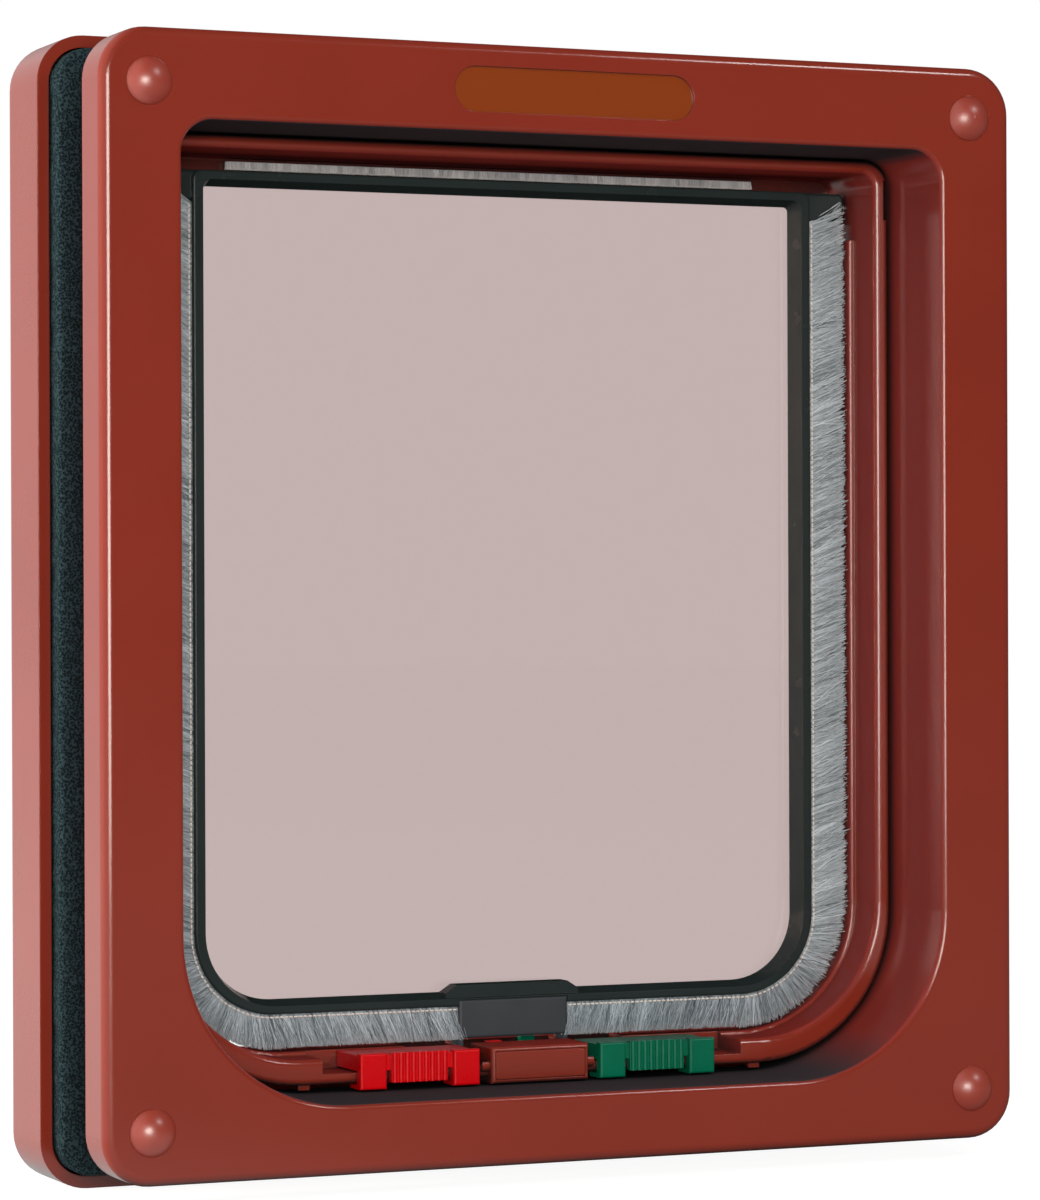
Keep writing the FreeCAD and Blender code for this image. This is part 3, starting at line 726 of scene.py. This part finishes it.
topPile(topPileLook)
print("top brush grown")


# The foam strip: a ring with eased corners whose faces swell and dip a little between cells
foamRingLook = {
    "stripMm": 5.8, "outerCornerMm": 6.7, "easeMm": 1.1, "easeSteps": 4, "faceSteps": 4, "stepMm": 1.1,
    "lumpMm": 2.6, "lumpDepthMm": 0.22, "cellMm": 0.8, "cellDepthMm": 0.12, "insetMm": 0.1,
}


# Goes round a rounded rectangle in even steps. Each gives a point one corner radius inside the edge
# and the way out from it.
def roundedLoop(halfWidth, top, bottom, corner, step):
    runs = []
    centres = (
        (halfWidth - corner, top - corner), (corner - halfWidth, top - corner),
        (corner - halfWidth, bottom + corner), (halfWidth - corner, bottom + corner),
    )
    for turn, (x, z) in enumerate(centres):
        count = max(4, round(corner * math.pi / 2 / step))
        for i in range(count):
            angle = math.pi / 2 * (turn + i / count)
            runs.append((x, z, math.cos(angle), math.sin(angle)))
        angle = math.pi / 2 * (turn + 1)
        out = (math.cos(angle), math.sin(angle))
        nextX, nextZ = centres[(turn + 1) % 4]
        length = math.hypot(nextX - x, nextZ - z)
        count = max(2, round(length / step))
        for i in range(count):
            share = i / count
            runs.append((x + (nextX - x) * share, z + (nextZ - z) * share, *out))
    return runs


def foamRing(look):
    low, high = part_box("foam_gasket")
    inset = look["insetMm"] * mm
    corner, step = look["outerCornerMm"] * mm, look["stepMm"] * mm
    loop = roundedLoop(high.x - inset, high.z - inset, low.z + inset, corner, step)
    width = look["stripMm"] * mm - 2 * inset
    ease = look["easeMm"] * mm
    front, back = low.y + inset, high.y
    profile = []  # how far inwards from the outer face, and how deep
    for i in range(look["faceSteps"]):
        profile.append((0.0, back + (front + ease - back) * i / look["faceSteps"]))
    for i in range(look["easeSteps"]):
        angle = math.pi / 2 * i / look["easeSteps"]
        profile.append((ease - ease * math.cos(angle), front + ease - ease * math.sin(angle)))
    for i in range(look["faceSteps"]):
        profile.append((ease + (width - 2 * ease) * i / look["faceSteps"], front))
    for i in range(look["easeSteps"]):
        angle = math.pi / 2 * i / look["easeSteps"]
        profile.append((width - ease + ease * math.sin(angle), front + ease - ease * math.cos(angle)))
    for i in range(look["faceSteps"] + 1):
        profile.append((width, front + ease + (back - front - ease) * i / look["faceSteps"]))
    points, faces = [], []
    rows = len(profile)
    for x, z, outX, outZ in loop:
        for inward, depth in profile:
            point = Vector((x + outX * (corner - inward), depth, z + outZ * (corner - inward)))
            lump = noise.noise(point / (look["lumpMm"] * mm)) * look["lumpDepthMm"]
            cell = noise.noise(point / (look["cellMm"] * mm)) * look["cellDepthMm"]
            swell = (lump + cell) * mm if depth < back else 0.0
            facing = 1.0 if inward <= ease else 0.0
            point += Vector((outX * facing, facing - 1.0, outZ * facing)) * (min(swell, inset))
            points.append(tuple(point))
    for i in range(len(loop)):
        following = (i + 1) % len(loop)
        for row in range(rows):
            after = (row + 1) % rows
            a, b = i * rows + row, i * rows + after
            c, d = following * rows + after, following * rows + row
            faces.append([a, b, c])
            faces.append([a, c, d])
    piece = meshObject("foam_strip", points, faces, neoprene, smooth=True)
    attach(piece, "frame")
    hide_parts("foam_gasket")


foamRing(foamRingLook)
print("foam strip laid")


# Pale floor and white surroundings. The camera and glass see plain white; the floor keeps the shadow.
# Gloss sees white behind and to the left, and a dim room in front and to the right.
floorLook = {"colour": "#808080", "sizeM": 12.0, "white": 0.93, "throughGlass": 0.98, "roughness": 0.9}
worldLook = {"fill": 0.26, "bright": 0.75, "dim": 0.07, "backShare": 0.45, "dimTo": -0.1, "brightFrom": 0.45}


def directSight(tree):
    path = addNode(tree, "ShaderNodeLightPath")
    seen = addNode(
        tree,
        "ShaderNodeMath",
        {"operation": "MAXIMUM"},
        {0: path.outputs["Is Camera Ray"], 1: path.outputs["Is Transmission Ray"]},
    )
    return seen, path


# 1 towards the left and the back, 0 towards the front right. A longer reach makes a wider change.
def brightSide(tree, coordinates, look, reach):
    split = addNode(tree, "ShaderNodeSeparateXYZ", {}, {0: coordinates})
    lean = addNode(
        tree,
        "ShaderNodeMath",
        {"operation": "MULTIPLY", 1: look["backShare"]},
        {0: split.outputs["Y"]},
    )
    left = addNode(
        tree, "ShaderNodeMath", {"operation": "SUBTRACT"}, {0: lean.outputs[0], 1: split.outputs["X"]}
    )
    dim, bright = look["dimTo"] * reach, look["brightFrom"] * reach
    return spreadTo(tree, left.outputs[0], 0.0, 1.0, dim, bright)


def paleFloor(look, around):
    material, tree = newMaterial("paintedBoard")
    seen, path = directSight(tree)
    place = addNode(tree, "ShaderNodeTexCoord")
    side = brightSide(tree, place.outputs["Object"], around, 0.4)  # in metres, across the floor
    gloss = spreadTo(tree, side.outputs[0], around["dim"], around["bright"], 0.0, 1.0)
    glossOnly = addNode(
        tree,
        "ShaderNodeMath",
        {"operation": "MULTIPLY"},
        {0: gloss.outputs[0], 1: path.outputs["Is Glossy Ray"]},
    )
    glow = addNode(
        tree,
        "ShaderNodeMix",
        {"data_type": "FLOAT", 3: look["white"]},
        {0: seen.outputs[0], 2: glossOnly.outputs[0]},
    )
    paint = addNode(
        tree,
        "ShaderNodeBsdfPrincipled",
        {"Base Color": hexColour(look["colour"]), "Roughness": look["roughness"]},
    )
    white = addNode(tree, "ShaderNodeEmission", {}, {"Strength": glow.outputs[0]})
    both = addNode(tree, "ShaderNodeAddShader", {}, {0: paint.outputs[0], 1: white.outputs[0]})
    plain = addNode(tree, "ShaderNodeEmission", {"Strength": look["throughGlass"]})
    shown = addNode(
        tree,
        "ShaderNodeMixShader",
        {},
        {0: path.outputs["Is Transmission Ray"], 1: both.outputs[0], 2: plain.outputs[0]},
    )
    finishMaterial(tree, shown)
    half = look["sizeM"] / 2
    height = cadBox[0].z
    corners = [(-half, -half, height), (half, -half, height), (half, half, height), (-half, half, height)]
    floor = meshObject("floor", corners, [[0, 1, 2], [0, 2, 3]], material)


paleFloor(floorLook, worldLook)


def studioWorld(look):
    world = bpy.data.worlds.new("whiteStudio")
    world.use_nodes = True
    bpy.context.scene.world = world
    tree = world.node_tree
    tree.nodes.clear()
    seen, path = directSight(tree)
    place = addNode(tree, "ShaderNodeTexCoord")
    side = brightSide(tree, place.outputs["Generated"], look, 1.0)  # a direction, whose length is 1
    gloss = spreadTo(tree, side.outputs[0], look["dim"], look["bright"], 0.0, 1.0)
    glossShare = addNode(
        tree,
        "ShaderNodeMix",
        {"data_type": "FLOAT", 2: look["fill"]},
        {0: path.outputs["Is Glossy Ray"], 3: gloss.outputs[0]},
    )
    strength = addNode(
        tree,
        "ShaderNodeMix",
        {"data_type": "FLOAT", 3: 1.0},
        {0: seen.outputs[0], 2: glossShare.outputs[0]},
    )
    sky = addNode(
        tree, "ShaderNodeBackground", {"Color": hexColour("#FFFFFF")}, {"Strength": strength.outputs[0]}
    )
    addNode(tree, "ShaderNodeOutputWorld", {}, {"Surface": sky.outputs[0]})


studioWorld(worldLook)


# Soft lamps: a wide one in front on the left that draws a line down each upright edge, one at
# the side that rakes the frame's flanks, and a small bright one high on the right for the caps.
lamps = {
    "keyLamp": {
        "place": (-0.45, -1.32, 0.06), "size": (0.58, 0.58), "watts": 17.0,
        "colour": "#FFF6EE", "gleams": True,
    },
    "sideLamp": {
        "place": (-1.35, 0.35, 0.15), "size": (0.9, 1.1), "watts": 39.0,
        "colour": "#FFF0DE", "gleams": False,
    },
    "sparkLamp": {
        "place": (0.75, -1.0, 0.95), "size": (0.2, 0.2), "watts": 3.0,
        "colour": "#FFFFFF", "gleams": True,
    },
}


def aimAt(thing, target):
    thing.rotation_mode = "QUATERNION"
    thing.rotation_quaternion = (Vector(target) - thing.location).to_track_quat("-Z", "Y")


def addLamp(name, look):
    data = bpy.data.lights.new(name, "AREA")
    data.shape = "RECTANGLE"
    data.size, data.size_y = look["size"]
    data.energy = look["watts"]
    data.color = hexColour(look["colour"])[:3]
    lamp = bpy.data.objects.new(name, data)
    bpy.context.scene.collection.objects.link(lamp)
    lamp.location = look["place"]
    lamp.visible_glossy = look["gleams"]
    aimAt(lamp, (0.0, 0.0, 0.0))


for lampName, lampLook in lamps.items():
    addLamp(lampName, lampLook)


# The photograph's viewpoint: level with the middle of the frame, from the left
viewLook = {
    "placeMm": (-350.85, -789.3, 1.0), "towards": (0.399, 0.917, 0.0), "rollDegrees": -0.2,
    "lensMm": 130.7, "sensorMm": 36.0, "seesM": (0.01, 50.0),
}


def addCamera(look):
    data = bpy.data.cameras.new("camera")
    data.sensor_fit = "VERTICAL"
    data.sensor_width = data.sensor_height = look["sensorMm"]
    data.lens = look["lensMm"]
    data.clip_start, data.clip_end = look["seesM"]
    camera = bpy.data.objects.new("camera", data)
    bpy.context.scene.collection.objects.link(camera)
    camera.location = Vector(look["placeMm"]) * mm
    aimAt(camera, camera.location + Vector(look["towards"]))
    camera.rotation_quaternion @= Quaternion((0, 0, 1), math.radians(look["rollDegrees"]))
    bpy.context.scene.camera = camera


addCamera(viewLook)
bpy.context.scene.view_settings.view_transform = "Standard"
print("stage, lamps and camera set")
